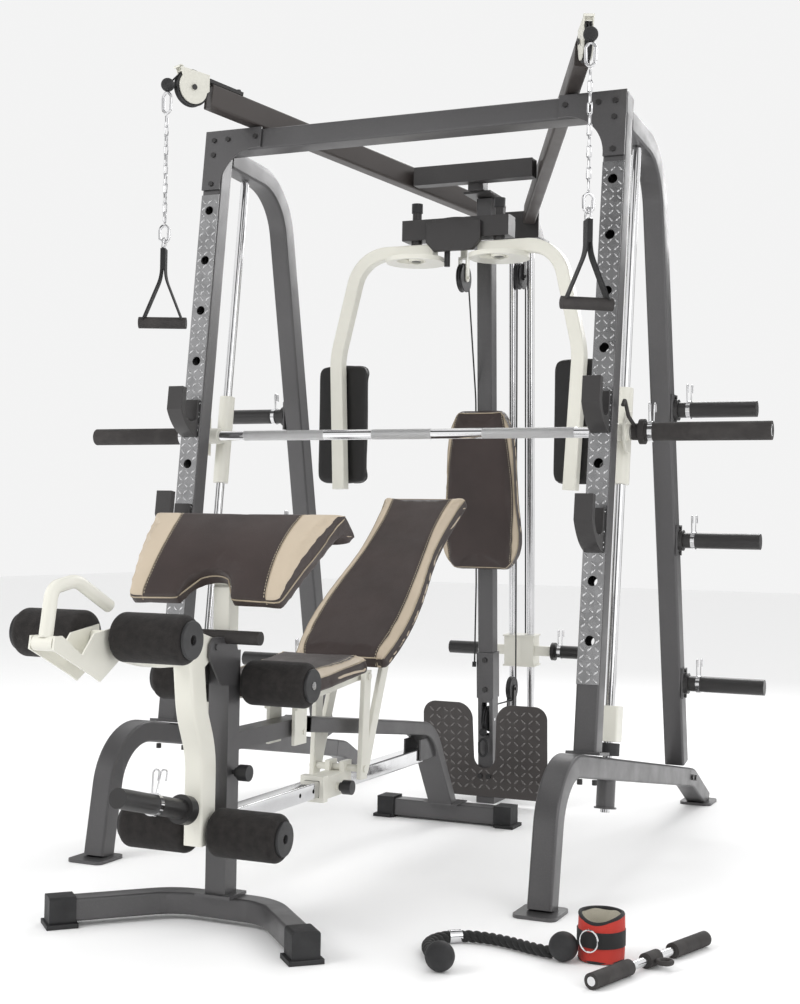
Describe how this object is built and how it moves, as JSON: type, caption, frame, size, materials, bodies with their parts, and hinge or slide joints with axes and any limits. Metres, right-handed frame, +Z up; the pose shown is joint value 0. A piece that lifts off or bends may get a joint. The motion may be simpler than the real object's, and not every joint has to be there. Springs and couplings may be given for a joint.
{
  "type": "multi station home gym",
  "caption": "Smith machine cage with splayed cable arms, butterfly tower and low pulley, and a separate adjustable bench with preacher pad and leg lever.",
  "frame": {"origin": "middle of the footprint on the floor", "axes": "+X to the machine's right seen from the front, +Y to the rear, +Z up"},
  "size_m": [2.032, 2.735, 2.1606],
  "materials": {
    "frame_grey": "satin metallic charcoal powder coat",
    "arm_brown": "satin dark brown powder coat",
    "cream": "satin cream powder coat",
    "black_metal": "satin black",
    "steel_plate": "brushed stainless",
    "chrome": "polished",
    "tread_plate": "raised tread pattern",
    "upholstery": "grained brown vinyl with tan bands",
    "foam": "closed cell foam",
    "black_plastic": "moulded",
    "rope_black": "braided",
    "webbing": "woven nylon",
    "rubber": "moulded",
    "black_vinyl": "grained black vinyl",
    "red_nylon": "woven red nylon cuff with black edging"
  },
  "bodies": {
    "cage": {"side_bases": "frame_grey", "front_uprights": "frame_grey", "steel_facings": "steel_plate", "top_crossbeam": "frame_grey", "rear_frames": "frame_grey", "guide_rods": "chrome", "stop_collars": "cream", "storage_pegs": "black_metal", "top_arms": "arm_brown", "arm_bridge": "arm_brown", "pulley_brackets": "cream", "rear_post": "frame_grey", "foot_plate": "tread_plate", "pec_head": "frame_grey", "back_pad": "upholstery", "tower_cable": "black_metal", "frame_bolts": "black_metal"},
    "bar_lift": {"bar_carriages": "cream"},
    "bar": {"smith_bar": "chrome", "bar_sleeves": "black_metal"},
    "head_wheel": {"head_pulley": "black_plastic"},
    "low_wheel": {"low_pulley": "black_plastic"},
    "base_wheel": {"base_pulley": "black_plastic"},
    "top_wheel": {"top_pulley": "black_plastic"},
    "weights": {"weight_carriage": "cream"},
    "bench": {"bench_frame": "frame_grey", "bench_rail": "chrome", "rubber_feet": "rubber"},
    "slider": {"bench_slider": "cream"},
    "rail_pin": {"slider_knob": "black_plastic"},
    "backrest": {"backrest_frame": "cream", "backrest_pad": "upholstery"},
    "seat": {"seat_frame": "cream", "seat_pad": "upholstery"},
    "post_pin": {"post_knob": "black_plastic"},
    "preacher": {"preacher_post": "cream", "preacher_pad": "upholstery"},
    "lever": {"leg_lever": "cream"},
    "curl": {"curl_handle": "cream"},
    "lever_top_rollers": {"upper_rollers": "foam"},
    "lever_low_rollers": {"lower_rollers": "foam"},
    "bench_rollers": {"seat_rollers": "foam"},
    "loose_rope": {"rope": "rope_black", "rope_ends": "rubber"},
    "loose_strap": {"ankle_strap": "red_nylon"},
    "loose_bar": {"short_bar": "chrome"},
    "upper_catch_r": {"upper_catch_right": "black_metal"},
    "lower_catch_r": {"lower_catch_right": "black_metal"},
    "pec_right": {"pec_arm_right": "cream", "pec_pad_right": "black_vinyl"},
    "arm_wheel_right": {"arm_pulley_right": "black_plastic"},
    "stirrup_right": {"chain_right": "chrome", "handle_right": "webbing"},
    "upper_catch_l": {"upper_catch_left": "black_metal"},
    "lower_catch_l": {"lower_catch_left": "black_metal"},
    "pec_left": {"pec_arm_left": "cream", "pec_pad_left": "black_vinyl"},
    "arm_wheel_left": {"arm_pulley_left": "black_plastic"},
    "stirrup_left": {"chain_left": "chrome", "handle_left": "webbing"}
  },
  "joints": [
    {"name": "bar_travel", "type": "slide", "parent": "cage", "child": "bar_lift", "axis": [0, 0.1219, 0.9925], "range_m": [-0.27, 0.62]},
    {"name": "bar_turn", "type": "hinge", "parent": "bar_lift", "child": "bar", "pos_m": [0, 0.2395, 1.135], "axis": [1, 0, 0], "range_deg": [-30, 60]},
    {"name": "upper_catch_right_pull", "type": "slide", "parent": "cage", "child": "upper_catch_r", "axis": [0, -0.9925, 0.1219], "range_m": [0, 0.06]},
    {"name": "lower_catch_right_pull", "type": "slide", "parent": "cage", "child": "lower_catch_r", "axis": [0, -0.9925, 0.1219], "range_m": [0, 0.06]},
    {"name": "pec_right_swing", "type": "hinge", "parent": "cage", "child": "pec_right", "pos_m": [0.134, 0.6305, 1.718], "axis": [0, 0, -1], "range_deg": [0, 60]},
    {"name": "arm_wheel_right_turn", "type": "hinge", "parent": "cage", "child": "arm_wheel_right", "pos_m": [0.5773, 0.0309, 2.1036], "axis": [0.9041, 0.4274, 0], "continuous": true},
    {"name": "stirrup_right_swing", "type": "hinge", "parent": "cage", "child": "stirrup_right", "pos_m": [0.611, -0.0395, 2.01], "axis": [1, 0, 0], "range_deg": [-30, 8]},
    {"name": "upper_catch_left_pull", "type": "slide", "parent": "cage", "child": "upper_catch_l", "axis": [0, -0.9925, 0.1219], "range_m": [0, 0.06]},
    {"name": "lower_catch_left_pull", "type": "slide", "parent": "cage", "child": "lower_catch_l", "axis": [0, -0.9925, 0.1219], "range_m": [0, 0.06]},
    {"name": "pec_left_swing", "type": "hinge", "parent": "cage", "child": "pec_left", "pos_m": [-0.134, 0.6305, 1.718], "axis": [0, 0, 1], "range_deg": [0, 60]},
    {"name": "arm_wheel_left_turn", "type": "hinge", "parent": "cage", "child": "arm_wheel_left", "pos_m": [-0.5773, 0.0309, 2.1036], "axis": [0.9041, -0.4274, 0], "continuous": true},
    {"name": "stirrup_left_swing", "type": "hinge", "parent": "cage", "child": "stirrup_left", "pos_m": [-0.611, -0.0395, 2.01], "axis": [1, 0, 0], "range_deg": [-30, 8]},
    {"name": "head_wheel_turn", "type": "hinge", "parent": "cage", "child": "head_wheel", "pos_m": [0, 0.6865, 1.642], "axis": [1, 0, 0], "continuous": true},
    {"name": "low_wheel_turn", "type": "hinge", "parent": "cage", "child": "low_wheel", "pos_m": [0, 0.9595, 0.268], "axis": [1, 0, 0], "continuous": true},
    {"name": "base_wheel_turn", "type": "hinge", "parent": "cage", "child": "base_wheel", "pos_m": [0, 1.1885, 0.344], "axis": [1, 0, 0], "continuous": true},
    {"name": "top_wheel_turn", "type": "hinge", "parent": "cage", "child": "top_wheel", "pos_m": [0, 1.2185, 1.732], "axis": [1, 0, 0], "continuous": true},
    {"name": "weights_lift", "type": "slide", "parent": "cage", "child": "weights", "axis": [0, -0.0485, 0.9988], "range_m": [0, 1.05]},
    {"name": "bench_move", "type": "slide", "parent": "cage", "child": "bench", "axis": [0, -1, 0], "range_m": [0, 0.6]},
    {"name": "slider_travel", "type": "slide", "parent": "bench", "child": "slider", "axis": [0, 1, 0], "range_m": [-0.121, 0]},
    {"name": "rail_pin_pull", "type": "slide", "parent": "slider", "child": "rail_pin", "axis": [1, 0, 0], "range_m": [0, 0.01], "stiffness_N_per_m": 400},
    {"name": "backrest_tilt", "type": "hinge", "parent": "slider", "child": "backrest", "pos_m": [0, -0.1305, 0.263], "axis": [1, 0, 0], "range_deg": [-37.2, 0]},
    {"name": "seat_tilt", "type": "hinge", "parent": "bench", "child": "seat", "pos_m": [0, -0.3995, 0.384], "axis": [1, 0, 0], "range_deg": [-10.8, 0]},
    {"name": "post_pin_pull", "type": "slide", "parent": "bench", "child": "post_pin", "axis": [1, 0, 0], "range_m": [0, 0.01], "stiffness_N_per_m": 400},
    {"name": "preacher_height", "type": "slide", "parent": "bench", "child": "preacher", "axis": [0, 0, 1], "range_m": [0, 0.1]},
    {"name": "leg_lever_swing", "type": "hinge", "parent": "bench", "child": "lever", "pos_m": [0, -0.7985, 0.611], "axis": [-1, 0, 0], "range_deg": [0, 55]},
    {"name": "curl_handle_tip", "type": "hinge", "parent": "lever", "child": "curl", "pos_m": [0, -1.3535, 0.652], "axis": [1, 0, 0], "range_deg": [0, 100]},
    {"name": "upper_rollers_turn", "type": "hinge", "parent": "lever", "child": "lever_top_rollers", "pos_m": [0, -1.1685, 0.655], "axis": [1, 0, 0], "continuous": true},
    {"name": "lower_rollers_turn", "type": "hinge", "parent": "lever", "child": "lever_low_rollers", "pos_m": [0, -0.7855, 0.215], "axis": [1, 0, 0], "continuous": true},
    {"name": "seat_rollers_turn", "type": "hinge", "parent": "bench", "child": "bench_rollers", "pos_m": [0, -0.6675, 0.526], "axis": [1, 0, 0], "continuous": true},
    {"name": "rope_lift", "type": "slide", "parent": "cage", "child": "loose_rope", "axis": [0, 0, 1], "range_m": [0, 0.15]},
    {"name": "strap_lift", "type": "slide", "parent": "cage", "child": "loose_strap", "axis": [0, 0, 1], "range_m": [0, 0.15]},
    {"name": "short_bar_lift", "type": "slide", "parent": "cage", "child": "loose_bar", "axis": [0, 0, 1], "range_m": [0, 0.15]}
  ],
  "couplings": [
    {"joint": "backrest_tilt", "follows": "slider_travel", "rad_per_m": 5.337},
    {"joint": "seat_tilt", "follows": "slider_travel", "rad_per_m": 1.529}
  ]
}
